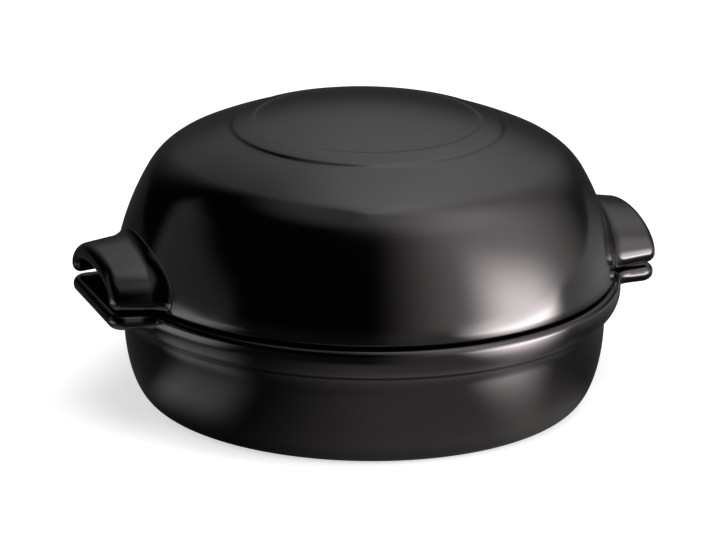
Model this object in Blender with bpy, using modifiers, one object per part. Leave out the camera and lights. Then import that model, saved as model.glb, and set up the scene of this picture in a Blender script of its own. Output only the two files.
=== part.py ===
"""A cheese baker in glazed stoneware: a low round dish and the tall dome that stands in its rim.

Both pieces are thrown forms turned about +Z. The dish has two flat handle tabs, and the dome has two
arched handles that stand over them, so that a finger fits in the arch between the two. The handles point
along +X and -X. The table is at z = 0, and all sizes are in metres.
"""
from math import asin, atan2, cos, degrees, pi, radians, sin, sqrt, tan

import bmesh
import bpy
from mathutils import Matrix

# Dish
RIM_RADIUS = 0.08545           # widest point of the bead round the rim
DISH_HEIGHT = 0.0423           # table to the top of the rim
RIM_TOP = 0.0028               # radius of the turn from the rim's top to the bead
BEAD_RADIUS = 0.0076
BEAD_UPPER = 18.0              # degrees of the bead above its widest point
BEAD_UNDER = 50.0              # degrees of it below, where the hollow under the rim takes over
RIM_OVERHANG = 0.0051          # how far the bead stands out from the wall under it
DISH_WALL = 0.0051
WALL_SWEEP = 0.0102            # below the hollow the wall curves in, on an ellipse of this half width
WALL_DROP = 1.015              # and with its half height this many times the height down to the table
INNER_TUCK = 0.0120            # half width of the curve inside, from the wall down to the flat floor
FLOOR_THICKNESS = 0.0054       # over the recess under the base
FOOT_WIDTH = 0.0055            # flat ring that stands on the table
FOOT_RECESS = 0.0013           # how far the base inside that ring is raised
FOOT_EDGE = 0.0006

# Seat of the dome in the dish
SEAT_INSET = 0.00565           # the bead's widest point to the seat
SEAT_DEPTH = 0.0034            # rim top down to the ledge that the dome stands on
SEAT_EDGE = 0.0006
SEAT_SIDE_GAP = 0.0005
SEAT_GAP = 0.0003
LIP_GAP = 0.0004               # between the rim's top and the dome's lip

# Dome
DOME_HEIGHT = 0.0566           # rim's top to the top of the crown, without the medallion's relief
DOME_WALL = 0.0057
DOME_INSET = 0.0022            # how far the wall stands in from the bead's widest point, above the lip
DOME_FOOT = 0.0031             # thickness of the dome's foot, in the seat
WALL_LEAN = 8.5                # degrees that the wall leans in above the lip
WALL_TURN = 20.8               # degrees that the wall turns up to the shoulder
SHOULDER_RADIUS = 0.0222
SHOULDER_TURN = 35.3
LIP_TOP = 0.0140               # radius of the turn from the leaning wall to the upright lip
LIP_RADIUS = 0.0017            # radius of the roll from there to the lip's underside
MEDALLION_RADIUS = 0.0460      # plain raised disc on the crown
MEDALLION_BAND = 0.0075        # width of the band round its field
BAND_RELIEF = 0.0006
FIELD_RELIEF = 0.0001
RELIEF_EDGE = 0.0008

# Handles
HANDLE_LENGTH = 0.00985        # the bead's widest point to the tips
HANDLE_WIDTH = 0.0484          # across the tips
HANDLE_SPREAD = 0.19           # growth of the half width for each unit of length towards the root
HANDLE_CORNER = 0.0052         # corner of the tab, seen from above
HANDLE_FILLET = 0.0090         # where the handles' sides run out into the body
TAB_ROOT_IN = 0.0014           # how far inside the bead's widest point the tabs' sides run out
TAB_ROOT_DEPTH = 0.0004        # how much deeper than that and the edge's rounding the root lies
TAB_THICKNESS = 0.0057
TAB_DROP = 0.0002              # tab's top below the rim's top
TAB_EDGE = 0.0027
ARCH_THICKNESS = 0.0064
ARCH_HEIGHT = 0.0139           # feet to the back of the arch at the tip
ARCH_RISE = 0.11               # growth of that height for each unit of length towards the root
ARCH_EDGE = 0.0030
ARCH_BACK_FILLET = 0.0015      # where the arch's back runs into the dome
ARCH_INNER_FILLET = 0.0020     # where its hollow ends at the dome
ARCH_LIFT = 0.0005             # arch feet above the lip's underside
ROOT_DEPTH = 0.0022            # how deep a handle's root lies in the wall that carries it

TURN_STEPS = 48                # facets of a full turn
ARCH_STEPS = 14                # facets over the arch's back
FOOT_SHAPE = ((0.87, 0.72), (0, 1), (-0.87, 0.72))     # rounded sole of an arch foot, for a half width of 1
TIP_TURNS = (0, 35, 62, 90)    # degrees round the arch's tip edge
TAB_TURNS = (0, 30, 60, 90)    # degrees round the tab's edge
ROOT_TURNS = (0, 22, 44, 66, 84)       # degrees round the fillet where the arch meets the dome
MERGE = 0.00001

# Heights and radii that follow from the sizes above
WALL_RADIUS = RIM_RADIUS - RIM_OVERHANG
INNER_RADIUS = WALL_RADIUS - DISH_WALL
SEAT_RADIUS = RIM_RADIUS - SEAT_INSET
LEDGE_HEIGHT = DISH_HEIGHT - SEAT_DEPTH
LIP_HEIGHT = DISH_HEIGHT + LIP_GAP
CROWN_HEIGHT = DISH_HEIGHT + DOME_HEIGHT
HANDLE_REACH = RIM_RADIUS + HANDLE_LENGTH
ARCH_FEET = LIP_HEIGHT + ARCH_LIFT


def arc(centre, radius, start, end, steps, height=None):
    """Points of an arc in the (radius, height) plane, both ends included, angles in degrees from +radius."""
    rise = radius if height is None else height
    angles = [radians(start + (end - start) * i / steps) for i in range(steps + 1)]
    return [(centre[0] + radius * cos(a), centre[1] + rise * sin(a)) for a in angles]


def rim_face():
    """The rim from the outer edge of its top over the bead and down the hollow under it to the wall."""
    upper = radians(BEAD_UPPER)
    under = 1 - cos(radians(BEAD_UNDER))
    widest = DISH_HEIGHT - RIM_TOP * (1 - sin(upper)) - BEAD_RADIUS * sin(upper)
    bead_centre = (RIM_RADIUS - BEAD_RADIUS, widest)
    top_centre = (bead_centre[0] + (BEAD_RADIUS - RIM_TOP) * cos(upper), DISH_HEIGHT - RIM_TOP)
    points = arc(top_centre, RIM_TOP, 90, BEAD_UPPER, 4)
    points += arc(bead_centre, BEAD_RADIUS, BEAD_UPPER, -BEAD_UNDER, 7)[1:]
    hollow = (RIM_OVERHANG - BEAD_RADIUS * under) / under
    wall_top = points[-1][1] - hollow * sin(radians(BEAD_UNDER))
    points += arc((WALL_RADIUS + hollow, wall_top), hollow, 180 - BEAD_UNDER, 180, 4)[1:]
    return points


def dish_profile():
    """The dish's section, from the middle of its floor out over the rim and back to the middle underneath."""
    outside = rim_face()
    curve_top = outside[-1][1]
    sweep = degrees(asin(1 / WALL_DROP))
    wall = arc((WALL_RADIUS - WALL_SWEEP, curve_top), WALL_SWEEP, 0, -sweep, 8, curve_top * WALL_DROP)
    outside += wall[1:]

    floor = FOOT_RECESS + FLOOR_THICKNESS
    inner_middle = (INNER_RADIUS - INNER_TUCK, curve_top)
    inside = [(0, floor), (inner_middle[0] / 2, floor)]
    inside += arc(inner_middle, INNER_TUCK, -90, 0, 7, curve_top - floor)
    inside += arc((INNER_RADIUS + SEAT_EDGE, LEDGE_HEIGHT - SEAT_EDGE), SEAT_EDGE, 180, 90, 2)
    inside += [(SEAT_RADIUS, LEDGE_HEIGHT)]
    inside += arc((SEAT_RADIUS + SEAT_EDGE, DISH_HEIGHT - SEAT_EDGE), SEAT_EDGE, 180, 90, 2)

    foot_in = wall[-1][0] - FOOT_WIDTH
    foot = arc((foot_in + FOOT_EDGE, FOOT_EDGE), FOOT_EDGE, -90, -180, 2)
    foot += arc((foot_in - FOOT_EDGE, FOOT_RECESS - FOOT_EDGE), FOOT_EDGE, 0, 90, 2)
    foot += [(foot_in / 2, FOOT_RECESS), (0, FOOT_RECESS)]
    return inside + outside + foot


class Dome:
    """The dome's outer curve: wall, shoulder and crown as three arcs, each running on from the one before.

    The crown's arc ends level on the axis, and the wall's radius is the one that puts it at CROWN_HEIGHT.
    """

    def __init__(self):
        lean = radians(WALL_LEAN)
        wall_top = lean + radians(WALL_TURN)
        crown = wall_top + radians(SHOULDER_TURN)
        self.lip_middle = LIP_HEIGHT + LIP_RADIUS
        self.foot_height = self.lip_middle + LIP_TOP * sin(lean)
        self.foot_radius = RIM_RADIUS - DOME_INSET
        self.lip_edge = self.foot_radius + LIP_TOP * (1 - cos(lean))
        level = tan((pi / 2 - crown) / 2)
        shoulder_in = SHOULDER_RADIUS * (cos(wall_top) - cos(crown))
        shoulder_up = SHOULDER_RADIUS * (sin(crown) - sin(wall_top))
        rise = CROWN_HEIGHT - self.foot_height - shoulder_up - (self.foot_radius - shoulder_in) * level
        per_radius = sin(wall_top) - sin(lean) - (cos(lean) - cos(wall_top)) * level
        self.wall_radius = rise / per_radius
        self.wall_centre = (self.foot_radius - self.wall_radius * cos(lean),
                            self.foot_height - self.wall_radius * sin(lean))
        inwards = self.wall_radius - SHOULDER_RADIUS
        self.shoulder_centre = (self.wall_centre[0] + inwards * cos(wall_top),
                                self.wall_centre[1] + inwards * sin(wall_top))
        edge = self.shoulder_centre[0] + SHOULDER_RADIUS * cos(crown)
        self.crown_radius = edge / cos(crown)
        self.crown_centre = CROWN_HEIGHT - self.crown_radius
        self.wall_top = degrees(wall_top)
        self.crown = degrees(crown)

    def crown_point(self, radius, offset):
        """A point of the crown, raised off its curve by offset."""
        return (radius, self.crown_centre + sqrt((self.crown_radius + offset) ** 2 - radius ** 2))

    def sides(self, offset, crown_steps, shoulder_steps, wall_steps, start):
        """The curve from start, in degrees on the crown's arc, down to the foot, moved out by offset."""
        points = arc((0, self.crown_centre), self.crown_radius + offset, start, self.crown, crown_steps)
        shoulder = SHOULDER_RADIUS + offset
        points += arc(self.shoulder_centre, shoulder, self.crown, self.wall_top, shoulder_steps)[1:]
        points += arc(self.wall_centre, self.wall_radius + offset, self.wall_top, WALL_LEAN, wall_steps)[1:]
        return points

    def outer_at(self, height):
        """Outer radius of the wall, or of the lip under it, at a height."""
        if height > self.foot_height:
            return self.wall_centre[0] + sqrt(self.wall_radius ** 2 - (height - self.wall_centre[1]) ** 2)
        turn = LIP_TOP if height > self.lip_middle else LIP_RADIUS
        return self.lip_edge - turn + sqrt(turn ** 2 - (height - self.lip_middle) ** 2)


def dome_profile(dome):
    """The dome's section, from the middle of the medallion down outside and back up inside."""
    field = MEDALLION_RADIUS - MEDALLION_BAND
    medallion = [dome.crown_point(field * i / 3, FIELD_RELIEF) for i in range(3)]
    medallion += [dome.crown_point(field - RELIEF_EDGE, FIELD_RELIEF), dome.crown_point(field, BAND_RELIEF)]
    medallion += [dome.crown_point(MEDALLION_RADIUS - RELIEF_EDGE, BAND_RELIEF)]
    start = 90 - degrees(asin(MEDALLION_RADIUS / dome.crown_radius))
    outside = dome.sides(0, 3, 7, 6, start)

    outside += arc((dome.lip_edge - LIP_TOP, dome.lip_middle), LIP_TOP, WALL_LEAN, 0, 2)[1:]
    outside += arc((dome.lip_edge - LIP_RADIUS, dome.lip_middle), LIP_RADIUS, 0, -90, 5)[1:]

    foot_out = SEAT_RADIUS - SEAT_SIDE_GAP
    foot_in = foot_out - DOME_FOOT
    bottom = LEDGE_HEIGHT + SEAT_GAP
    foot = arc((foot_out + SEAT_EDGE, LIP_HEIGHT - SEAT_EDGE), SEAT_EDGE, 90, 180, 2)
    foot += arc((foot_out - SEAT_EDGE, bottom + SEAT_EDGE), SEAT_EDGE, 0, -90, 2)
    foot += arc((foot_in + SEAT_EDGE, bottom + SEAT_EDGE), SEAT_EDGE, -90, -180, 2)
    foot += [(foot_in, LIP_HEIGHT)]

    inside = dome.sides(-DOME_WALL, 4, 6, 5, 90)
    return medallion + outside + foot + inside[::-1]


def turned(name, profile, collection):
    """An object turned about +Z from a profile that starts and ends on the axis."""
    mesh = bpy.data.meshes.new(name)
    mesh.from_pydata([(r, 0, z) for r, z in profile], [(i, i + 1) for i in range(len(profile) - 1)], [])
    obj = bpy.data.objects.new(name, mesh)
    collection.objects.link(obj)
    screw = obj.modifiers.new("turn", "SCREW")
    screw.axis = "Z"
    screw.angle = 2 * pi
    screw.steps = screw.render_steps = TURN_STEPS
    screw.use_merge_vertices = True
    screw.merge_threshold = MERGE
    screw.use_smooth_shade = True
    return obj


def half_width(x):
    """Half the handles' width at a distance x from the axis."""
    return HANDLE_WIDTH / 2 + HANDLE_SPREAD * (HANDLE_REACH - x)


def tab_outline(inset):
    """One tab seen from above: its root inside the rim, then its outline round the tip, drawn in by inset."""
    slope = atan2(HANDLE_SPREAD, 1)
    # The fillet's centre lies one fillet radius out from the body's circle and from the tab's side line.
    reach = RIM_RADIUS - TAB_ROOT_IN + HANDLE_FILLET
    distance = half_width(0) * cos(slope) + HANDLE_FILLET
    angle = asin(distance / reach) - slope
    centre = (reach * cos(angle), reach * sin(angle))
    side = arc(centre, HANDLE_FILLET + inset, degrees(angle) + 180, 270 - degrees(slope), 6)
    corner_at = HANDLE_REACH - HANDLE_CORNER
    corner_y = half_width(corner_at) - HANDLE_CORNER / cos(slope)
    side += arc((corner_at, corner_y), HANDLE_CORNER - inset, 90 - degrees(slope), 0, 4)
    root_radius = reach - HANDLE_FILLET - TAB_EDGE - TAB_ROOT_DEPTH
    root = arc((0, 0), root_radius, -degrees(angle), degrees(angle), 6)
    return root + side + [(x, -y) for x, y in reversed(side)]


def tab_mesh():
    """The flat tab as a loft from its underside over the rounded edge to its top, a little below the rim's."""
    top = DISH_HEIGHT - TAB_DROP
    bottom = top - TAB_THICKNESS
    levels = []
    for turn in TAB_TURNS:
        inset = TAB_EDGE * (1 - sin(radians(turn)))
        away = TAB_EDGE * (1 - cos(radians(turn)))
        levels.append((bottom + away, inset))
        levels.append((top - away, inset))
    form = bmesh.new()
    rings = [[form.verts.new((x, y, z)) for x, y in tab_outline(inset)] for z, inset in sorted(levels)]
    for low, high in zip(rings, rings[1:]):
        for i in range(len(low)):
            form.faces.new((low[i - 1], low[i], high[i], high[i - 1]))
    form.faces.new(rings[0])
    form.faces.new(rings[-1])
    bmesh.ops.recalc_face_normals(form, faces=form.faces)
    mesh = bpy.data.meshes.new("tab")
    form.to_mesh(mesh)
    form.free()
    mesh.shade_smooth()
    return mesh


def arch_section(x, inset, outer_growth=0.0, back_growth=0.0, inner_growth=0.0):
    """One closed section across the arch, as (y, z) points: over its back, then through its hollow.

    inset draws the section in from both faces. The growths swell it near the dome: at the feet, on its back
    and in the hollow.
    """
    half = half_width(x)
    top = ARCH_FEET + ARCH_HEIGHT + ARCH_RISE * (HANDLE_REACH - x)
    middle = ARCH_FEET + ARCH_THICKNESS / 2
    shrink = ARCH_THICKNESS - inset + inner_growth
    outer = (half - inset, top - middle - inset)
    inner = (half - shrink, top - middle - shrink)
    angles = [radians(-90 + 180 * i / ARCH_STEPS) for i in range(ARCH_STEPS + 1)]
    back = []
    for a in angles:
        share = sin(a) ** 4
        growth = outer_growth * share + back_growth * (1 - share)
        back.append(((outer[0] + growth) * sin(a), middle + (outer[1] + growth) * cos(a)))
    hollow = [(inner[0] * sin(a), middle + inner[1] * cos(a)) for a in reversed(angles)]
    across = (back[-1][0] - hollow[0][0]) / 2
    down = ARCH_THICKNESS / 2 - inset
    foot_middle = hollow[0][0] + across
    foot = [(foot_middle + across * c, middle - down * s) for c, s in FOOT_SHAPE]
    return back + foot + hollow + [(-y, z) for y, z in reversed(foot)]


def root_point(dome, y, z, near):
    """A point of the arch's root: a share near of the fillet's length off the dome, or in its wall below 0."""
    wall = dome.outer_at(z)
    share = min(1.0, abs(y) / (HANDLE_WIDTH / 2))
    length = ARCH_BACK_FILLET + (HANDLE_FILLET - ARCH_BACK_FILLET) * share ** 3
    off = length * near if near >= 0 else -ROOT_DEPTH
    return (sqrt((wall + off) ** 2 - y ** 2), y, z)


def arch_mesh(dome):
    """One arched handle as a loft: rounded tip, tapering body, and a root that swells into the dome."""
    stations = []
    for turn in TIP_TURNS:
        x = HANDLE_REACH - ARCH_EDGE * (1 - cos(radians(turn)))
        section = arch_section(x, ARCH_EDGE * (1 - sin(radians(turn))))
        stations.append([(x, y, z) for y, z in section])
    for turn in ROOT_TURNS:
        grow = 1 - cos(radians(turn))
        near = 1 - sin(radians(turn))
        x = dome.foot_radius + HANDLE_FILLET * near / 2
        section = arch_section(x, 0, HANDLE_FILLET * grow, ARCH_BACK_FILLET * grow, ARCH_INNER_FILLET * grow)
        stations.append([root_point(dome, y, z, near) for y, z in section])
    stations.append([root_point(dome, y, z, -1) for y, z in section])

    form = bmesh.new()
    rings = [[form.verts.new(p) for p in station] for station in stations]
    count = len(rings[0])
    for near_ring, far_ring in zip(rings, rings[1:]):
        for i in range(count):
            j = (i + 1) % count
            form.faces.new((near_ring[i], near_ring[j], far_ring[j], far_ring[i]))
    last = count - 4
    for ring in (rings[0], rings[-1]):
        for i in range(ARCH_STEPS):
            form.faces.new((ring[i], ring[i + 1], ring[last - i - 1], ring[last - i]))
        form.faces.new(ring[ARCH_STEPS:ARCH_STEPS + 5])
        form.faces.new([ring[0]] + ring[last:])
    bmesh.ops.recalc_face_normals(form, faces=form.faces)
    mesh = bpy.data.meshes.new("arch")
    form.to_mesh(mesh)
    form.free()
    mesh.shade_smooth()
    return mesh


def joined(body, handle_mesh, name, guides):
    """Join a handle and its twin at the other side to a turned body."""
    for side, angle in (("right", 0.0), ("left", pi)):
        handle = bpy.data.objects.new(f"{name}_{side}", handle_mesh)
        handle.matrix_world = Matrix.Rotation(angle, 4, "Z")
        handle.hide_render = True
        handle.display_type = "WIRE"
        guides.objects.link(handle)
        union = body.modifiers.new(f"{name}_{side}", "BOOLEAN")
        union.operation = "UNION"
        union.solver = "EXACT"
        union.object = handle


def glaze(name, colour, roughness):
    """A dark glossy glaze."""
    material = bpy.data.materials.new(name)
    material.use_nodes = True
    shader = material.node_tree.nodes["Principled BSDF"]
    shader.inputs["Base Color"].default_value = (*colour, 1)
    shader.inputs["Roughness"].default_value = roughness
    shader.inputs["Metallic"].default_value = 0.0
    material.diffuse_color = (*colour, 1)
    return material


def build():
    for obj in list(bpy.data.objects):
        bpy.data.objects.remove(obj, do_unlink=True)
    parts = bpy.data.collections.new("cheese_baker")
    guides = bpy.data.collections.new("guides")
    bpy.context.scene.collection.children.link(parts)
    bpy.context.scene.collection.children.link(guides)

    dish = turned("dish", dish_profile(), parts)
    joined(dish, tab_mesh(), "tab", guides)
    dish.data.materials.append(glaze("charcoal_glaze_dish", (0.016, 0.014, 0.015), 0.16))

    dome = Dome()
    lid = turned("dome_lid", dome_profile(dome), parts)
    joined(lid, arch_mesh(dome), "arch", guides)
    lid.data.materials.append(glaze("charcoal_glaze_lid", (0.018, 0.016, 0.017), 0.16))


build()
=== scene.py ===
from functools import partial
from math import asin, atan2, cos, degrees, pi, radians, sin, sqrt, tan

import bmesh
import bpy
from mathutils import Matrix, Vector
from mathutils.bvhtree import BVHTree
from mathutils.interpolate import poly_3d_calc


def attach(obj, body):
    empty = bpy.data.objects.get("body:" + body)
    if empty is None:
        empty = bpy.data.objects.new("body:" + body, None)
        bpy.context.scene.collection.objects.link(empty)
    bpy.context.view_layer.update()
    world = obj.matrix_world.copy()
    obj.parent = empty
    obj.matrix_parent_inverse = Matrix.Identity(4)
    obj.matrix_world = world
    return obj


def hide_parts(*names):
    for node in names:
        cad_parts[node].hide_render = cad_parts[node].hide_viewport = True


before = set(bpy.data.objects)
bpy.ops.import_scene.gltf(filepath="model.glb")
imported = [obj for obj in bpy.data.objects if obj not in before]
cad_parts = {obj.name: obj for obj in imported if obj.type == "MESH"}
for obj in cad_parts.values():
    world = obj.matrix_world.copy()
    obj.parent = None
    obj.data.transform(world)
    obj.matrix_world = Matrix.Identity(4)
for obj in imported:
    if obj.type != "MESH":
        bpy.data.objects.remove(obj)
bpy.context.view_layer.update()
scene = bpy.context.scene
print("frame loaded")


def arc(centre, radius, start, end, steps, height=None):
    # points on a circle, or on an ellipse where a height is given
    rise = radius if height is None else height
    angles = [radians(start + (end - start) * i / steps) for i in range(steps + 1)]
    return [(centre[0] + radius * cos(a), centre[1] + rise * sin(a)) for a in angles]


# Lengths are in metres and angles in degrees, here and further down
dishSizes = {
    "rimRadius": 0.08545,        # widest point of the bead round the rim
    "height": 0.0423,
    "rimTop": 0.0020,            # radius of the turn from the rim's top to the bead
    "rimLean": 80.0,             # where that turn starts
    "rimFall": 0.0004,           # how far the rim's top slopes down outwards
    "faceRadius": 0.0160,        # the bead's face, above its widest point
    "beadRadius": 0.0084,
    "beadUpper": 7.0,
    "beadUnder": 50.0,
    "overhang": 0.0051,          # bead beyond the wall under it
    "wall": 0.0051,
    "wallSweep": 0.0102,         # half width of the ellipse that the wall follows down to the foot
    "wallDrop": 1.015,           # its half height, as a share of the wall's height
    "innerTuck": 0.0120,
    "floor": 0.0054,
    "footWidth": 0.0055,
    "footRecess": 0.0013,
    "edge": 0.0006,
    "seatInset": 0.00565,        # bead's widest point to the seat
    "seatDepth": 0.0034,
    "steps": {                   # straight parts that each curve is drawn with
        "rimTop": 9, "face": 5, "bead": 16, "hollow": 10, "wall": 26, "level": 8, "tuck": 20, "edge": 4,
    },
}

rimRadius = dishSizes["rimRadius"]
wallRadius = rimRadius - dishSizes["overhang"]
seatRadius = rimRadius - dishSizes["seatInset"]
ledge = dishSizes["height"] - dishSizes["seatDepth"]


def rimFace():
    # the rim's top edge, the bead, and the hollow under it down to the wall
    d, steps = dishSizes, dishSizes["steps"]
    upper = radians(d["beadUpper"])
    under = 1 - cos(radians(d["beadUnder"]))
    top = d["height"] - d["rimFall"]
    widest = top - d["rimTop"] * (1 - sin(upper)) - d["faceRadius"] * sin(upper)
    faceCentre = (rimRadius - d["faceRadius"], widest)
    topCentre = (faceCentre[0] + (d["faceRadius"] - d["rimTop"]) * cos(upper), top - d["rimTop"])
    beadCentre = (rimRadius - d["beadRadius"], widest)
    points = arc(topCentre, d["rimTop"], d["rimLean"], d["beadUpper"], steps["rimTop"])
    points += arc(faceCentre, d["faceRadius"], d["beadUpper"], 0, steps["face"])[1:]
    points += arc(beadCentre, d["beadRadius"], 0, -d["beadUnder"], steps["bead"])[1:]
    hollow = (d["overhang"] - d["beadRadius"] * under) / under
    wallTop = points[-1][1] - hollow * sin(radians(d["beadUnder"]))
    points += arc((wallRadius + hollow, wallTop), hollow, 180 - d["beadUnder"], 180, steps["hollow"])[1:]
    return points


def dishProfile():
    d, steps = dishSizes, dishSizes["steps"]
    edge, edgeSteps = d["edge"], steps["edge"]
    outside = rimFace()
    curveTop = outside[-1][1]
    sweep = degrees(asin(1 / d["wallDrop"]))
    outside += arc((wallRadius - d["wallSweep"], curveTop), d["wallSweep"], 0, -sweep, steps["wall"],
                   curveTop * d["wallDrop"])[1:]
    floorTop = d["footRecess"] + d["floor"]
    innerRadius = wallRadius - d["wall"]
    middle = (innerRadius - d["innerTuck"], curveTop)
    inside = [(middle[0] * i / steps["level"], floorTop) for i in range(steps["level"])]
    inside += arc(middle, d["innerTuck"], -90, 0, steps["tuck"], curveTop - floorTop)
    inside += arc((innerRadius + edge, ledge - edge), edge, 180, 90, edgeSteps)
    inside += [(seatRadius, ledge)]
    inside += arc((seatRadius + edge, d["height"] - edge), edge, 180, 90, edgeSteps)
    footIn = outside[-1][0] - d["footWidth"]
    foot = arc((footIn + edge, edge), edge, -90, -180, edgeSteps)
    foot += arc((footIn - edge, d["footRecess"] - edge), edge, 0, 90, edgeSteps)
    foot += [(footIn * i / steps["level"], d["footRecess"]) for i in reversed(range(steps["level"]))]
    return inside + outside + foot


lidSizes = {
    "height": 0.0566,            # rim's top to the crown
    "wall": 0.0057,
    "inset": 0.0022,             # wall in from the bead's widest point
    "foot": 0.0031,
    "lipGap": 0.0002,
    "seatGap": 0.0003,
    "sideGap": 0.0005,
    "wallLean": 8.5,
    "wallTurn": 20.8,
    "shoulderRadius": 0.0222,
    "shoulderTurn": 35.3,
    "lipTop": 0.0140,
    "lipRadius": 0.0012,
    "medallionRadius": 0.0460,   # plain disc, with a raised band round it
    "medallionBand": 0.0075,
    "bandRelief": 0.0004,
    "fieldRelief": 0.0001,
    "reliefEdge": 0.0017,
    "steps": {
        "field": 12, "relief": 6, "band": 4, "crown": 10, "shoulder": 22, "wall": 22, "lipTop": 5,
        "lip": 10, "edge": 4, "insideCrown": 14, "insideShoulder": 14, "insideWall": 16,
    },
}

lipHeight = dishSizes["height"] + lidSizes["lipGap"]
crownHeight = dishSizes["height"] + lidSizes["height"]


class Dome:
    # the dome's outer curve: wall, shoulder and crown as three arcs that run on from each other

    def __init__(self):
        s = lidSizes
        lean = radians(s["wallLean"])
        wallTop = lean + radians(s["wallTurn"])
        crown = wallTop + radians(s["shoulderTurn"])
        shoulder = s["shoulderRadius"]
        self.lipMiddle = lipHeight + s["lipRadius"]
        self.footHeight = self.lipMiddle + s["lipTop"] * sin(lean)
        self.footRadius = rimRadius - s["inset"]
        self.lipEdge = self.footRadius + s["lipTop"] * (1 - cos(lean))
        level = tan((pi / 2 - crown) / 2)
        shoulderIn = shoulder * (cos(wallTop) - cos(crown))
        shoulderUp = shoulder * (sin(crown) - sin(wallTop))
        rise = crownHeight - self.footHeight - shoulderUp - (self.footRadius - shoulderIn) * level
        self.wallRadius = rise / (sin(wallTop) - sin(lean) - (cos(lean) - cos(wallTop)) * level)
        self.wallCentre = (self.footRadius - self.wallRadius * cos(lean),
                           self.footHeight - self.wallRadius * sin(lean))
        inwards = self.wallRadius - shoulder
        self.shoulderCentre = (self.wallCentre[0] + inwards * cos(wallTop),
                               self.wallCentre[1] + inwards * sin(wallTop))
        self.crownRadius = (self.shoulderCentre[0] + shoulder * cos(crown)) / cos(crown)
        self.crownCentre = crownHeight - self.crownRadius
        self.wallTop = degrees(wallTop)
        self.crown = degrees(crown)

    def crownPoint(self, radius, offset):
        return (radius, self.crownCentre + sqrt((self.crownRadius + offset) ** 2 - radius ** 2))

    def sides(self, offset, start, crownSteps, shoulderSteps, wallSteps):
        points = arc((0, self.crownCentre), self.crownRadius + offset, start, self.crown, crownSteps)
        points += arc(self.shoulderCentre, lidSizes["shoulderRadius"] + offset, self.crown, self.wallTop,
                      shoulderSteps)[1:]
        points += arc(self.wallCentre, self.wallRadius + offset, self.wallTop, lidSizes["wallLean"],
                      wallSteps)[1:]
        return points

    def outerAt(self, height):
        if height > self.footHeight:
            return self.wallCentre[0] + sqrt(self.wallRadius ** 2 - (height - self.wallCentre[1]) ** 2)
        turn = lidSizes["lipTop"] if height > self.lipMiddle else lidSizes["lipRadius"]
        return self.lipEdge - turn + sqrt(turn ** 2 - (height - self.lipMiddle) ** 2)


def eased(share):
    return share * share * (3 - 2 * share)


def medallionProfile(dome):
    s, steps = lidSizes, lidSizes["steps"]
    field = s["medallionRadius"] - s["medallionBand"]
    fieldIn = field - s["reliefEdge"]
    bandOut = s["medallionRadius"] - s["reliefEdge"]
    shares = [i / steps["relief"] for i in range(steps["relief"] + 1)]
    points = [dome.crownPoint(fieldIn * i / steps["field"], s["fieldRelief"]) for i in range(steps["field"])]
    for share in shares:   # the step up to the band
        height = s["fieldRelief"] + (s["bandRelief"] - s["fieldRelief"]) * eased(share)
        points.append(dome.crownPoint(field - s["reliefEdge"] * (1 - share), height))
    for i in range(1, steps["band"]):
        points.append(dome.crownPoint(field + (bandOut - field) * i / steps["band"], s["bandRelief"]))
    for share in shares:   # and down from it to the crown
        height = s["bandRelief"] * (1 - eased(share))
        points.append(dome.crownPoint(bandOut + s["reliefEdge"] * share, height))
    return points


def lidProfile(dome):
    s, steps = lidSizes, lidSizes["steps"]
    start = 90 - degrees(asin(s["medallionRadius"] / dome.crownRadius))
    outside = dome.sides(0, start, steps["crown"], steps["shoulder"], steps["wall"])[1:]
    outside += arc((dome.lipEdge - s["lipTop"], dome.lipMiddle), s["lipTop"], s["wallLean"], 0,
                   steps["lipTop"])[1:]
    outside += arc((dome.lipEdge - s["lipRadius"], dome.lipMiddle), s["lipRadius"], 0, -90, steps["lip"])[1:]
    edge = dishSizes["edge"]
    footOut = seatRadius - s["sideGap"]
    footIn = footOut - s["foot"]
    bottom = ledge + s["seatGap"]
    foot = arc((footOut + edge, lipHeight - edge), edge, 90, 180, steps["edge"])
    foot += arc((footOut - edge, bottom + edge), edge, 0, -90, steps["edge"])
    foot += arc((footIn + edge, bottom + edge), edge, -90, -180, steps["edge"])
    foot += [(footIn, lipHeight)]
    inside = dome.sides(-s["wall"], 90, steps["insideCrown"], steps["insideShoulder"], steps["insideWall"])
    return medallionProfile(dome) + outside + foot + inside[::-1]


def mathNode(tree, operation, *values):
    node = tree.nodes.new("ShaderNodeMath")
    node.operation = operation
    for socket, value in zip(node.inputs, values):
        if isinstance(value, (int, float)):
            socket.default_value = value
        else:
            tree.links.new(value, socket)
    return node.outputs[0]


turning = {
    "steps": 224,                # facets of a full turn
    "merge": 0.00001,            # points nearer than this become one
}


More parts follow.
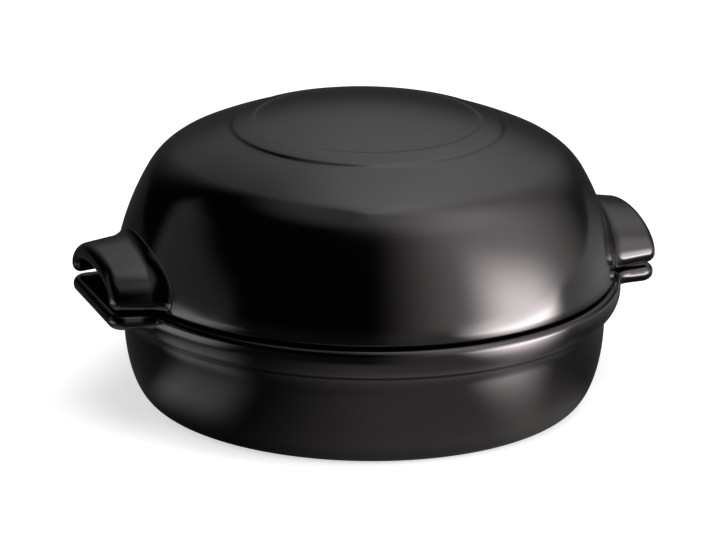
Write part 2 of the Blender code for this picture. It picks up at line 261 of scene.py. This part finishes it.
def turnedTree():
    # a profile mesh in the XZ plane becomes a form turned about Z
    tree = bpy.data.node_groups.new("turnedForm", "GeometryNodeTree")
    kinds = {"Profile": "Geometry", "Steps": "Int", "Merge": "Float", "Material": "Material"}
    for label, kind in kinds.items():
        tree.interface.new_socket(label, in_out="INPUT", socket_type="NodeSocket" + kind)
    tree.interface.new_socket("Form", in_out="OUTPUT", socket_type="NodeSocketGeometry")
    nodes, link = tree.nodes, tree.links.new
    given = nodes.new("NodeGroupInput")
    result = nodes.new("NodeGroupOutput")
    maths = partial(mathNode, tree)
    size = nodes.new("GeometryNodeAttributeDomainSize")
    link(given.outputs["Profile"], size.inputs["Geometry"])
    count = size.outputs["Point Count"]
    grid = nodes.new("GeometryNodeMeshGrid")
    link(maths("ADD", given.outputs["Steps"], 1), grid.inputs["Vertices X"])
    link(count, grid.inputs["Vertices Y"])
    index = nodes.new("GeometryNodeInputIndex").outputs["Index"]
    row = maths("FLOORED_MODULO", index, count)
    column = maths("FLOOR", maths("DIVIDE", maths("ADD", index, 0.5), count))
    angle = maths("DIVIDE", maths("MULTIPLY", column, 2 * pi), given.outputs["Steps"])
    sample = nodes.new("GeometryNodeSampleIndex")
    sample.data_type = "FLOAT_VECTOR"
    link(given.outputs["Profile"], sample.inputs["Geometry"])
    link(nodes.new("GeometryNodeInputPosition").outputs[0], sample.inputs["Value"])
    link(row, sample.inputs["Index"])
    split = nodes.new("ShaderNodeSeparateXYZ")
    link(sample.outputs[0], split.inputs[0])
    point = nodes.new("ShaderNodeCombineXYZ")
    link(maths("MULTIPLY", split.outputs["X"], maths("COSINE", angle)), point.inputs["X"])
    link(maths("MULTIPLY", split.outputs["X"], maths("SINE", angle)), point.inputs["Y"])
    link(split.outputs["Z"], point.inputs["Z"])
    move = nodes.new("GeometryNodeSetPosition")
    link(grid.outputs["Mesh"], move.inputs["Geometry"])
    link(point.outputs[0], move.inputs["Position"])
    merge = nodes.new("GeometryNodeMergeByDistance")
    link(move.outputs[0], merge.inputs["Geometry"])
    link(given.outputs["Merge"], merge.inputs["Distance"])
    smooth = nodes.new("GeometryNodeSetShadeSmooth")
    link(merge.outputs[0], smooth.inputs[0])
    real = nodes.new("GeometryNodeRealizeInstances")
    link(smooth.outputs[0], real.inputs[0])
    paint = nodes.new("GeometryNodeSetMaterial")
    link(real.outputs[0], paint.inputs["Geometry"])
    link(given.outputs["Material"], paint.inputs["Material"])
    link(paint.outputs[0], result.inputs[0])
    return tree


def plainMesh(obj):
    scene.view_layers[0].update()
    depsgraph = bpy.context.evaluated_depsgraph_get()
    return bpy.data.meshes.new_from_object(obj.evaluated_get(depsgraph))


def turned(name, profile, material, tree):
    mesh = bpy.data.meshes.new(name)
    mesh.from_pydata([(r, 0, z) for r, z in profile], [(i, i + 1) for i in range(len(profile) - 1)], [])
    source = bpy.data.objects.new(name + "Profile", mesh)
    scene.collection.objects.link(source)
    modifier = source.modifiers.new("turned", "NODES")
    modifier.node_group = tree
    values = {"Steps": turning["steps"], "Merge": turning["merge"], "Material": material}
    for item in tree.interface.items_tree:
        if item.name in values:
            modifier[item.identifier] = values[item.name]
    form = plainMesh(source)
    bpy.data.objects.remove(source)
    form.name = name
    work = bmesh.new()
    work.from_mesh(form)
    if work.calc_volume(signed=True) < 0:   # faces point outwards
        bmesh.ops.reverse_faces(work, faces=work.faces)
    work.to_mesh(form)
    work.free()
    return form


handleSizes = {
    "length": 0.00985,           # beyond the bead
    "width": 0.0484,
    "spread": 0.08,              # the tab's half width gained towards the root, by length
    "corner": 0.0052,
    "fillet": 0.0090,
    "tabRootIn": 0.0014,
    "tabRootDepth": 0.0004,
    "tabThickness": 0.0057,
    "tabDrop": 0.0002,
    "tabEdge": 0.0027,
    "archThickness": 0.0064,
    "archHeight": 0.0139,
    "archSpread": (0.22, 6.0),   # the arch's half width gained towards the root, by length and its square
    "archRise": (0.17, 1.5),     # and its height
    "archEdge": 0.0030,
    "archLift": 0.0005,
    "sideFillet": 0.0040,        # from the arch's feet to the dome
    "backFillet": 0.0026,
    "innerFillet": 0.0020,
    "rootTurn": 86.0,            # how far round the fillet the arch is drawn before it goes into the dome
    "rootDepth": 0.0022,
    "normalReach": 0.004,        # how far from a handle the normals are kept
    "steps": {"fillet": 18, "corner": 12, "root": 12, "arch": 48, "foot": 8, "tip": 8, "archRoot": 10},
}

reach = rimRadius + handleSizes["length"]
archFeet = lipHeight + handleSizes["archLift"]


def halfWidth(x):
    return handleSizes["width"] / 2 + handleSizes["spread"] * (reach - x)


def tabOutline(inset):
    h, steps = handleSizes, handleSizes["steps"]
    slope = atan2(h["spread"], 1)
    lean = degrees(slope)
    out = rimRadius - h["tabRootIn"] + h["fillet"]
    distance = halfWidth(0) * cos(slope) + h["fillet"]
    angle = asin(distance / out) - slope
    centre = (out * cos(angle), out * sin(angle))
    side = arc(centre, h["fillet"] + inset, degrees(angle) + 180, 270 - lean, steps["fillet"])
    cornerAt = reach - h["corner"]
    cornerY = halfWidth(cornerAt) - h["corner"] / cos(slope)
    side += arc((cornerAt, cornerY), h["corner"] - inset, 90 - lean, 0, steps["corner"])
    rootRadius = rimRadius - h["tabRootIn"] - h["tabEdge"] - h["tabRootDepth"]
    root = arc((0, 0), rootRadius, -degrees(angle), degrees(angle), steps["root"])
    return root + side + [(x, -y) for x, y in reversed(side)]


def loft(name, rings, caps):
    form = bmesh.new()
    made = [[form.verts.new(p) for p in ring] for ring in rings]
    for near, far in zip(made, made[1:]):
        for i in range(len(near)):
            form.faces.new((near[i - 1], near[i], far[i], far[i - 1]))
    for ring in (made[0], made[-1]):
        for cap in caps(len(ring)):
            form.faces.new([ring[i] for i in cap])
    bmesh.ops.recalc_face_normals(form, faces=form.faces)
    mesh = bpy.data.meshes.new(name)
    form.to_mesh(mesh)
    form.free()
    mesh.shade_smooth()
    return mesh


def tipTurns():
    # the quarter turn of a handle's rounded edge
    steps = handleSizes["steps"]["tip"]
    return [radians(90 * i / steps) for i in range(steps + 1)]


def tabMesh():
    h = handleSizes
    top = dishSizes["height"] - h["tabDrop"]
    bottom = top - h["tabThickness"]
    levels = []
    for turn in tipTurns():
        inset, away = h["tabEdge"] * (1 - sin(turn)), h["tabEdge"] * (1 - cos(turn))
        levels += [(bottom + away, inset), (top - away, inset)]
    rings = [[(x, y, z) for x, y in tabOutline(inset)] for z, inset in sorted(levels)]
    return loft("tab", rings, lambda count: [range(count)])


def gained(rates, length):
    return rates[0] * length + rates[1] * length ** 2


def archSection(x, inset, outerGrowth=0.0, backGrowth=0.0, innerGrowth=0.0):
    # a closed section across the arch: over its back, round a foot, through its hollow, round the other
    h, steps = handleSizes, handleSizes["steps"]
    half = h["width"] / 2 + gained(h["archSpread"], reach - x)
    top = archFeet + h["archHeight"] + gained(h["archRise"], reach - x)
    middle = archFeet + h["archThickness"] / 2
    shrink = h["archThickness"] - inset + innerGrowth
    outer = (half - inset, top - middle - inset)
    inner = (half - shrink, top - middle - shrink)
    angles = [radians(-90 + 180 * i / steps["arch"]) for i in range(steps["arch"] + 1)]
    back = []
    for a in angles:
        share = sin(a) ** 4
        growth = outerGrowth * share + backGrowth * (1 - share)
        back.append(((outer[0] + growth) * sin(a), middle + (outer[1] + growth) * cos(a)))
    hollow = [(inner[0] * sin(a), middle + inner[1] * cos(a)) for a in reversed(angles)]
    across = (back[-1][0] - hollow[0][0]) / 2
    down = h["archThickness"] / 2 - inset
    footMiddle = hollow[0][0] + across
    turns = [pi * i / steps["foot"] for i in range(1, steps["foot"])]
    foot = [(footMiddle + across * cos(t), middle - down * sin(t)) for t in turns]
    return back + foot + hollow + [(-y, z) for y, z in reversed(foot)]


def rootPoint(dome, y, z, near):
    # a point of the arch's root, laid against the dome; near is its share of the fillet, or below 0 inside
    h = handleSizes
    share = min(1.0, abs(y) / (h["width"] / 2))
    length = h["backFillet"] + (h["sideFillet"] - h["backFillet"]) * share ** 2
    off = length * near if near >= 0 else -h["rootDepth"]
    return (sqrt((dome.outerAt(z) + off) ** 2 - y ** 2), y, z)


def archMesh(dome):
    h, steps = handleSizes, handleSizes["steps"]
    rings = []
    for turn in tipTurns():
        x = reach - h["archEdge"] * (1 - cos(turn))
        rings.append([(x, y, z) for y, z in archSection(x, h["archEdge"] * (1 - sin(turn)))])
    for i in range(steps["archRoot"] + 1):
        turn = radians(h["rootTurn"] * i / steps["archRoot"])
        grow, near = 1 - cos(turn), 1 - sin(turn)
        x = dome.footRadius + h["sideFillet"] * near / 2
        section = archSection(x, 0, h["sideFillet"] * grow, h["backFillet"] * grow, h["innerFillet"] * grow)
        rings.append([rootPoint(dome, y, z, near) for y, z in section])
    rings.append([rootPoint(dome, y, z, -1) for y, z in section])

    def caps(count):
        last = count - steps["foot"]
        strip = [(i, i + 1, last - i - 1, last - i) for i in range(steps["arch"])]
        nearFoot = range(steps["arch"], steps["arch"] + steps["foot"] + 1)
        return strip + [nearFoot, [0] + list(range(last, count))]

    # the skin ends where the arch runs out on the dome, so its normals there are the dome's own
    return loft("arch", rings, caps), loft("archSkin", rings[:-1], caps)


class Skin:
    # the smooth normals of a form, looked up by place

    def __init__(self, mesh, turn):
        mesh.calc_loop_triangles()
        self.corners = [turn @ v.co for v in mesh.vertices]
        self.normals = [turn.to_3x3() @ v.normal for v in mesh.vertices]
        self.triangles = [tuple(t.vertices) for t in mesh.loop_triangles]
        self.tree = BVHTree.FromPolygons(self.corners, self.triangles)

    def distance(self, place):
        return self.tree.find_nearest(place)[3]

    def normalAt(self, place):
        nearest, _, index, _ = self.tree.find_nearest(place)
        triangle = self.triangles[index]
        weights = poly_3d_calc([self.corners[i] for i in triangle], nearest)
        return sum((self.normals[i] * w for i, w in zip(triangle, weights)), Vector())


def keepNormals(mesh, bodySkin, handles, handleSkins):
    # next to a join each face keeps the normals of the form that it was cut from
    normals = [Vector()] * len(mesh.loops)   # a zero vector leaves a corner's normal as it is
    for face in mesh.polygons:
        middle = face.center
        offHandle, which = min((skin.distance(middle), n) for n, skin in enumerate(handles))
        if offHandle > handleSizes["normalReach"]:
            continue
        skin = bodySkin if bodySkin.distance(middle) < offHandle else handleSkins[which]
        for corner in face.loop_indices:
            normals[corner] = skin.normalAt(mesh.vertices[mesh.loops[corner].vertex_index].co)
    mesh.normals_split_custom_set(normals)


def joinHandles(name, form, handle, skin, material):
    piece = bpy.data.objects.new(name, form)
    scene.collection.objects.link(piece)
    handle.materials.clear()
    handle.materials.append(material)
    helpers = []
    turns = [Matrix.Rotation(angle, 4, "Z") for angle in (0.0, pi)]
    for turn in turns:
        helper = bpy.data.objects.new(name + "Handle", handle)
        helper.matrix_world = turn
        scene.collection.objects.link(helper)
        helpers.append(helper)
        union = piece.modifiers.new("handle", "BOOLEAN")
        union.operation = "UNION"
        union.solver = "MANIFOLD"
        union.object = helper
    mesh = plainMesh(piece)
    piece.modifiers.clear()
    for helper in helpers:
        bpy.data.objects.remove(helper)
    mesh.name = name
    mesh.shade_smooth()
    keepNormals(mesh, Skin(form, Matrix()), [Skin(handle, t) for t in turns], [Skin(skin, t) for t in turns])
    piece.data = mesh
    return piece


# Glaze: near black and glossy. The bare clay shows on the rings that the pieces stand on in the kiln.
glazeValues = {
    "roughness": 0.13,
    "roughnessSpread": 0.03,
    "ior": 1.5,
    "toneSpread": 0.2,
    "rippleScale": 55.0,
    "rippleDetail": 2.0,
    "rippleHeight": 0.00002,
    "fineScale": 7.0,            # times the ripple's scale
    "fineDetail": 3.0,
    "fineShare": 0.15,
}
clayValues = {
    "light": (0.17, 0.105, 0.065),
    "dark": (0.12, 0.07, 0.045),
    "roughness": 0.85,
    "grainScale": 900.0,
    "grainDetail": 4.0,
    "wander": 0.0002,            # how far the glaze's edge strays
    "fade": 0.00025,
    "sideFade": 0.0005,
}
dishFinish = {
    "colour": (0.0009, 0.0008, 0.0008),
    "bareBelow": 0.0003,
    "bareFrom": 0.060,           # radius inside which the underside is glazed
}
lidFinish = {
    "colour": (0.0010, 0.0009, 0.0009),
    "bareBelow": ledge + 0.0005,
    "bareFrom": 0.070,
}


def ramp(tree, value, low, high):
    node = tree.nodes.new("ShaderNodeMapRange")
    node.interpolation_type = "SMOOTHSTEP"
    for name, given in (("Value", value), ("From Min", low), ("From Max", high)):
        if isinstance(given, (int, float)):
            node.inputs[name].default_value = given
        else:
            tree.links.new(given, node.inputs[name])
    return node.outputs["Result"]


def newGroup(name, inputs, outputs):
    # a shader group whose sockets all hold single numbers
    tree = bpy.data.node_groups.new(name, "ShaderNodeTree")
    for label, value in inputs.items():
        socket = tree.interface.new_socket(label, in_out="INPUT", socket_type="NodeSocketFloat")
        socket.default_value = value
    for label in outputs:
        tree.interface.new_socket(label, in_out="OUTPUT", socket_type="NodeSocketFloat")
    return tree, tree.nodes.new("NodeGroupInput"), tree.nodes.new("NodeGroupOutput")


def placedGroup(tree, group, values):
    node = tree.nodes.new("ShaderNodeGroup")
    node.node_tree = group
    for label, value in values.items():
        node.inputs[label].default_value = value
    return node


def noiseNode(tree, place, detail):
    noise = tree.nodes.new("ShaderNodeTexNoise")
    noise.inputs["Detail"].default_value = detail
    tree.links.new(place, noise.inputs["Vector"])
    return noise


def objectPlace(tree):
    return tree.nodes.new("ShaderNodeTexCoord").outputs["Object"]


def awayFromAxis(maths, x, y):
    return maths("SQRT", maths("ADD", maths("MULTIPLY", x, x), maths("MULTIPLY", y, y)))


def rippleGroup():
    # the slight unevenness of a dipped glaze
    g = glazeValues
    tree, given, result = newGroup("glazeRipple", {
        "Scale": g["rippleScale"], "Roughness": g["roughness"], "Spread": g["roughnessSpread"],
    }, ("Roughness", "Height", "Tone"))
    maths = partial(mathNode, tree)
    place = objectPlace(tree)
    broad = noiseNode(tree, place, g["rippleDetail"])
    tree.links.new(given.outputs["Scale"], broad.inputs["Scale"])
    fine = noiseNode(tree, place, g["fineDetail"])
    tree.links.new(maths("MULTIPLY", given.outputs["Scale"], g["fineScale"]), fine.inputs["Scale"])
    both = maths("MULTIPLY_ADD", fine.outputs["Fac"], g["fineShare"], broad.outputs["Fac"])
    swing = maths("SUBTRACT", fine.outputs["Fac"], 0.5)
    rough = maths("MULTIPLY_ADD", swing, given.outputs["Spread"], given.outputs["Roughness"])
    tree.links.new(rough, result.inputs["Roughness"])
    tree.links.new(both, result.inputs["Height"])
    tree.links.new(broad.outputs["Fac"], result.inputs["Tone"])
    return tree


def clayGroup():
    # where no glaze lies: places lower than Level and outside Inner Radius, and the grain of the clay there
    c = clayValues
    tree, given, result = newGroup("bareClay", {
        "Level": dishFinish["bareBelow"], "Inner Radius": dishFinish["bareFrom"],
    }, ("Mask", "Grain"))
    maths = partial(mathNode, tree)
    place = objectPlace(tree)
    split = tree.nodes.new("ShaderNodeSeparateXYZ")
    tree.links.new(place, split.inputs[0])
    x, y, z = split.outputs
    grain = noiseNode(tree, place, c["grainDetail"])
    grain.inputs["Scale"].default_value = c["grainScale"]
    height = maths("MULTIPLY_ADD", grain.outputs["Fac"], c["wander"], z)
    above = maths("ADD", given.outputs["Level"], c["fade"])
    low = maths("SUBTRACT", 1.0, ramp(tree, height, given.outputs["Level"], above))
    inner = maths("ADD", given.outputs["Inner Radius"], c["sideFade"])
    outside = ramp(tree, awayFromAxis(maths, x, y), given.outputs["Inner Radius"], inner)
    tree.links.new(maths("MULTIPLY", low, outside), result.inputs["Mask"])
    tree.links.new(grain.outputs["Fac"], result.inputs["Grain"])
    return tree


def glazeMaterial(name, finish, rippleTree, clayTree):
    g, c = glazeValues, clayValues
    material = bpy.data.materials.new(name)
    material.use_nodes = True
    tree = material.node_tree
    nodes, link = tree.nodes, tree.links.new
    shader = nodes["Principled BSDF"]
    shader.inputs["IOR"].default_value = g["ior"]
    ripple = placedGroup(tree, rippleTree, {
        "Scale": g["rippleScale"], "Roughness": g["roughness"], "Spread": g["roughnessSpread"]})
    bare = placedGroup(tree, clayTree, {"Level": finish["bareBelow"], "Inner Radius": finish["bareFrom"]})

    def mixed(kind, factor, a, b):
        node = nodes.new("ShaderNodeMix")
        node.data_type = kind
        sockets = [s for s in node.inputs if s.enabled]
        link(factor, sockets[0])
        for socket, value in zip(sockets[1:], (a, b)):
            if isinstance(value, tuple):
                socket.default_value = (*value, 1)
            elif isinstance(value, float):
                socket.default_value = value
            else:
                link(value, socket)
        return next(s for s in node.outputs if s.enabled)

    darker, lighter = (tuple(part * share for part in finish["colour"])
                       for share in (1 - g["toneSpread"], 1 + g["toneSpread"]))
    glaze = mixed("RGBA", ripple.outputs["Tone"], darker, lighter)
    clay = mixed("RGBA", bare.outputs["Grain"], c["dark"], c["light"])
    link(mixed("RGBA", bare.outputs["Mask"], glaze, clay), shader.inputs["Base Color"])
    link(mixed("FLOAT", bare.outputs["Mask"], ripple.outputs["Roughness"], c["roughness"]),
         shader.inputs["Roughness"])
    bump = nodes.new("ShaderNodeBump")
    bump.inputs["Strength"].default_value = 1.0
    bump.inputs["Distance"].default_value = g["rippleHeight"]
    link(ripple.outputs["Height"], bump.inputs["Height"])
    link(bump.outputs[0], shader.inputs["Normal"])
    return material


ripples, bareClay = rippleGroup(), clayGroup()
dishGlaze = glazeMaterial("dishGlaze", dishFinish, ripples, bareClay)
lidGlaze = glazeMaterial("lidGlaze", lidFinish, ripples, bareClay)
print("glazes made")

formTree = turnedTree()
dishBody = turned("dishBody", dishProfile(), dishGlaze, formTree)
tab = tabMesh()
dishGlazed = joinHandles("dishGlazed", dishBody, tab, tab, dishGlaze)
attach(dishGlazed, "dish")
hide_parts("dish")
print("dish made,", len(dishGlazed.data.polygons), "faces")

dome = Dome()
lidBody = turned("lidBody", lidProfile(dome), lidGlaze, formTree)
lidGlazed = joinHandles("lidGlazed", lidBody, *archMesh(dome), lidGlaze)
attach(lidGlazed, "lid")
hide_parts("dome_lid")
print("lid made,", len(lidGlazed.data.polygons), "faces")

# Camera, in a frame where it looks along +Y. The object stands turned by objectTurn in that frame.
cameraValues = {
    "distance": 2.0,
    "elevation": 18.27,
    "pixels": 5991.8,            # focal length in pixels of a picture that is pictureWidth wide
    "pictureWidth": 716,
    "sensor": 36.0,
    "across": -0.002282,
    "height": 0.041587,
    "roll": -0.016,              # radians
    "objectTurn": 19.2,
    "clip": (0.1, 50),
}


def placeCamera():
    c = cameraValues
    e = radians(c["elevation"])
    where = Vector((c["across"], -c["distance"] * cos(e), c["height"] + c["distance"] * sin(e)))
    forward = Vector((0, cos(e), -sin(e)))
    up, right = Vector((0, sin(e), cos(e))), Vector((1, 0, 0))
    tippedUp = up * cos(c["roll"]) + right * sin(c["roll"])
    tippedRight = right * cos(c["roll"]) - up * sin(c["roll"])
    data = bpy.data.cameras.new("photoCamera")
    data.sensor_width = c["sensor"]
    data.lens = c["pixels"] * c["sensor"] / c["pictureWidth"]
    data.clip_start, data.clip_end = c["clip"]
    camera = bpy.data.objects.new("photoCamera", data)
    scene.collection.objects.link(camera)
    pose = Matrix((tippedRight, tippedUp, -forward)).transposed().to_4x4()
    pose.translation = where
    camera.matrix_world = Matrix.Rotation(radians(-c["objectTurn"]), 4, "Z") @ pose
    scene.camera = camera


placeCamera()

# Studio: a dark tent that only mirrored rays meet, with soft panels of light in it. Azimuth 0 is towards the
# camera and 90 to its right. Each panel: azimuth, half width and side edge, low and high with their edge, how
# much the high edge rises for each degree of azimuth, strength.
warmPanels = {
    "rightSky": (69, 34, 33, -90, 65, 20, 0, 2.8),
    "hotSpot": (75, 17, 14, -90, 13, 13, -0.44, 11.3),
    "overheadRight": (60, 50, 40, 50, 120, 16, 0, 0.75),
    "backRightSky": (120, 35, 25, 42, 120, 35, 0, 1.0),
}
plainPanels = {
    "zenith": (0, 360, 1, 64, 120, 12, 0, 0.5),
    "backSky": (170, 35, 30, 34, 120, 30, 0, 1.2),
    "backLow": (165, 45, 15, -2, 30, 6, 0, 0.06),
    "leftDim": (-88, 27, 5, -90, 20, 9, -0.5, 0.25),
}
warmTint = (1.0, 0.90, 0.91)
tentSizes = {"radius": 5.0, "around": 96, "up": 48}


def windowGroup():
    # a soft-edged window in azimuth and elevation
    tree, given, result = newGroup("softWindow", {
        "Azimuth": 0.0, "Elevation": 0.0, "Centre": 0.0, "Half Width": 30.0, "Side Edge": 5.0,
        "Low": 0.0, "High": 30.0, "Level Edge": 5.0, "Slope": 0.0,
    }, ("Mask",))
    g = given.outputs
    maths = partial(mathNode, tree)

    def past(value, middle, edge):
        return ramp(tree, value, maths("SUBTRACT", middle, edge), maths("ADD", middle, edge))

    turn = maths("ADD", maths("SUBTRACT", g["Azimuth"], g["Centre"]), 540.0)
    aside = maths("SUBTRACT", maths("FLOORED_MODULO", turn, 360.0), 180.0)
    across = past(maths("ABSOLUTE", aside), g["Half Width"], g["Side Edge"])
    over = past(g["Elevation"], g["Low"], g["Level Edge"])
    high = maths("MULTIPLY_ADD", aside, g["Slope"], g["High"])
    under = past(g["Elevation"], high, g["Level Edge"])
    inside = maths("MULTIPLY", maths("SUBTRACT", 1.0, across), over)
    tree.links.new(maths("MULTIPLY", inside, maths("SUBTRACT", 1.0, under)), result.inputs["Mask"])
    return tree


def directionGroup():
    # azimuth, elevation and distance along the table of a place, as the camera's frame has them
    tree, given, result = newGroup("studioDirection", {"Turn": cameraValues["objectTurn"]},
                                   ("Azimuth", "Elevation", "Distance", "Right", "Toward"))
    maths = partial(mathNode, tree)
    split = tree.nodes.new("ShaderNodeSeparateXYZ")
    tree.links.new(objectPlace(tree), split.inputs[0])
    x, y, z = split.outputs
    away = awayFromAxis(maths, x, y)
    bearing = maths("DEGREES", maths("ARCTAN2", x, maths("MULTIPLY", y, -1.0)))
    azimuth = maths("ADD", bearing, given.outputs["Turn"])
    turn = maths("RADIANS", azimuth)
    for label, value in (("Azimuth", azimuth), ("Elevation", maths("DEGREES", maths("ARCTAN2", z, away))),
                         ("Distance", away), ("Right", maths("MULTIPLY", away, maths("SINE", turn))),
                         ("Toward", maths("MULTIPLY", away, maths("COSINE", turn)))):
        tree.links.new(value, result.inputs[label])
    return tree


window, direction = windowGroup(), directionGroup()


def windowNode(tree, where, values):
    node = placedGroup(tree, window, {})
    for label in ("Azimuth", "Elevation"):
        tree.links.new(where.outputs[label], node.inputs[label])
    for socket, value in zip(list(node.inputs)[2:], values):
        socket.default_value = value
    return node.outputs["Mask"]


def glowNode(tree, warm, plain):
    # light of two tints: the warm one takes its colour, the plain one stays white
    tint = tree.nodes.new("ShaderNodeCombineXYZ")
    for socket, share in zip(tint.inputs, warmTint):
        tree.links.new(mathNode(tree, "MULTIPLY_ADD", warm, share, plain), socket)
    glow = tree.nodes.new("ShaderNodeEmission")
    tree.links.new(tint.outputs[0], glow.inputs["Color"])
    return glow.outputs[0]


def studioMaterial(name):
    # a material that holds the direction group and nothing else yet
    material = bpy.data.materials.new(name)
    material.use_nodes = True
    material.node_tree.nodes.clear()
    material.cycles.emission_sampling = "NONE"
    where = placedGroup(material.node_tree, direction, {"Turn": cameraValues["objectTurn"]})
    return material, material.node_tree, where


def tentMaterial():
    material, tree, where = studioMaterial("studioPanels")
    totals = []
    for panels in (warmPanels, plainPanels):
        total = 0.0
        for *values, strength in panels.values():
            total = mathNode(tree, "MULTIPLY_ADD", windowNode(tree, where, values), strength, total)
        totals.append(total)
    out = tree.nodes.new("ShaderNodeOutputMaterial")
    tree.links.new(glowNode(tree, *totals), out.inputs["Surface"])
    return material


# What mirrored rays find on the table: light in sectors round the object. Each sector has its azimuth, half
# width and edge. Each pair of distances is where something starts and where it is complete.
plainSectors = {                 # sector, distances where it comes in, distances where it goes out, strength
    "left": ((-72, 16, 10), (0.15, 0.21), (0.45, 0.62), 2.2),
    "leftNear": ((-57, 15, 9), (0.075, 0.1), (0.11, 0.18), 0.65),
    "leftFar": ((-88, 27, 5), (0.3, 0.6), None, 0.22),
    "backRight": ((105, 30, 18), (0.08, 0.35), None, 0.6),
}
tableValues = {
    "halfSize": 4.0,
    "colour": 0.8,
    "ownWhite": (0.62, 1.0),     # light that the camera sees on it, near and far
    "ownWhiteAt": (0.25, 1.0),
    "base": 0.045,               # mirrored light in no sector
    "paintedContactShadow": (0.068, 0.082),   # painted contact shadow: the mirrored light is dark where the dish stands
    "front": (27, 40, 24),
    "frontStrength": 0.52,
    "shade": (-10, 22, 12),      # the front is dark here, far out
    "shadeAt": (0.13, 0.2),
    "shadeDepth": 0.97,
    "right": (71, 22, 14),
    "rightStrength": 14.0,
    "rightAt": (0.055, 0.18),    # distance towards the camera, plus rightLean of that to the right
    "rightLean": 0.2,
    "bandIn": (0.22, 0.34),      # a brighter band across the right
    "bandOut": (0.58, 0.85),
    "bandGain": 0.8,
}


def tableMaterial():
    t = tableValues
    material, tree, where = studioMaterial("paleTable")
    maths = partial(mathNode, tree)

    def sector(centre, half, edge):
        # a window that is open at every elevation
        return windowNode(tree, where, (centre, half, edge, -90, 90, 1, 0))

    def past(distances):
        return ramp(tree, where.outputs["Distance"], *distances)

    def without(value):
        return maths("SUBTRACT", 1.0, value)

    def product(first, *others):
        for value in others:
            first = maths("MULTIPLY", first, value)
        return first

    shade = product(sector(*t["shade"]), past(t["shadeAt"]), t["shadeDepth"])
    front = product(sector(*t["front"]), without(shade), t["frontStrength"])
    slant = maths("MULTIPLY_ADD", where.outputs["Right"], t["rightLean"], where.outputs["Toward"])
    band = product(past(t["bandIn"]), without(past(t["bandOut"])), t["bandGain"])
    right = product(sector(*t["right"]), ramp(tree, slant, *t["rightAt"]), maths("ADD", band, 1.0),
                    t["rightStrength"])
    plain = t["base"]
    for place, comesIn, goesOut, strength in plainSectors.values():
        light = product(sector(*place), past(comesIn))
        if goesOut:
            light = product(light, without(past(goesOut)))
        plain = maths("MULTIPLY_ADD", light, strength, plain)
    # painted contact shadow: the mirrored light fades to black under and round the dish's foot
    paintedContactShadow = past(t["paintedContactShadow"])
    mirrored = glowNode(tree, product(maths("ADD", front, right), paintedContactShadow), product(plain, paintedContactShadow))

    pale = tree.nodes.new("ShaderNodeBsdfDiffuse")
    pale.inputs["Color"].default_value = (t["colour"], t["colour"], t["colour"], 1)
    rays = tree.nodes.new("ShaderNodeLightPath")
    near, far = t["ownWhite"]
    own = maths("MULTIPLY_ADD", past(t["ownWhiteAt"]), far - near, near)
    white = tree.nodes.new("ShaderNodeEmission")
    tree.links.new(product(own, rays.outputs["Is Camera Ray"]), white.inputs["Color"])
    seen = tree.nodes.new("ShaderNodeAddShader")
    tree.links.new(pale.outputs[0], seen.inputs[0])
    tree.links.new(white.outputs[0], seen.inputs[1])
    mix = tree.nodes.new("ShaderNodeMixShader")
    tree.links.new(rays.outputs["Is Glossy Ray"], mix.inputs[0])
    tree.links.new(seen.outputs[0], mix.inputs[1])
    tree.links.new(mirrored, mix.inputs[2])
    out = tree.nodes.new("ShaderNodeOutputMaterial")
    tree.links.new(mix.outputs[0], out.inputs["Surface"])
    return material


def stagePiece(name, form, material):
    mesh = bpy.data.meshes.new(name)
    form.to_mesh(mesh)
    form.free()
    mesh.materials.append(material)
    obj = bpy.data.objects.new(name, mesh)
    scene.collection.objects.link(obj)
    return obj


tableForm = bmesh.new()
bmesh.ops.create_grid(tableForm, x_segments=1, y_segments=1, size=tableValues["halfSize"])
stagePiece("paleTable", tableForm, tableMaterial())
tentForm = bmesh.new()
bmesh.ops.create_uvsphere(tentForm, u_segments=tentSizes["around"], v_segments=tentSizes["up"],
                          radius=tentSizes["radius"])
tent = stagePiece("studioTent", tentForm, tentMaterial())
tent.visible_camera = tent.visible_diffuse = tent.visible_shadow = False

# Lamps light the table and the little that the glaze scatters: azimuth, elevation, distance, size, power
lamps = {
    "overheadLamp": (40, 78, 1.6, 1.5, 16.0),
    "sideLamp": (77, 25, 1.6, 0.9, 9.0),
}
worldAmbient = 0.25


def areaLamp(name, azimuth, elevation, distance, size, power):
    data = bpy.data.lights.new(name, "AREA")
    data.shape, data.size, data.energy = "DISK", size, power
    lamp = bpy.data.objects.new(name, data)
    a, e = radians(azimuth - cameraValues["objectTurn"]), radians(elevation)
    toward = Vector((sin(a) * cos(e), -cos(a) * cos(e), sin(e)))
    lamp.location = toward * distance
    lamp.rotation_mode = "QUATERNION"
    lamp.rotation_quaternion = toward.to_track_quat("Z", "Y")
    lamp.visible_glossy = False
    scene.collection.objects.link(lamp)


def whiteWorld():
    # white where it is seen, mirrored or looked through, and dimmer as light on the object
    world = bpy.data.worlds.new("studioWhite")
    world.use_nodes = True
    tree = world.node_tree
    tree.nodes.clear()
    rays = tree.nodes.new("ShaderNodeLightPath").outputs
    maths = partial(mathNode, tree)
    mirrored = maths("MAXIMUM", rays["Is Glossy Ray"], rays["Is Transmission Ray"])
    seen = maths("MAXIMUM", rays["Is Camera Ray"], mirrored)
    strength = maths("MULTIPLY_ADD", seen, 1.0 - worldAmbient, worldAmbient)
    back = tree.nodes.new("ShaderNodeBackground")
    tree.links.new(strength, back.inputs["Strength"])
    back.inputs["Color"].default_value = (1, 1, 1, 1)
    out = tree.nodes.new("ShaderNodeOutputWorld")
    tree.links.new(back.outputs[0], out.inputs["Surface"])
    scene.world = world


for name, values in lamps.items():
    areaLamp(name, *values)
whiteWorld()
scene.view_settings.view_transform = "Standard"
print("studio made")
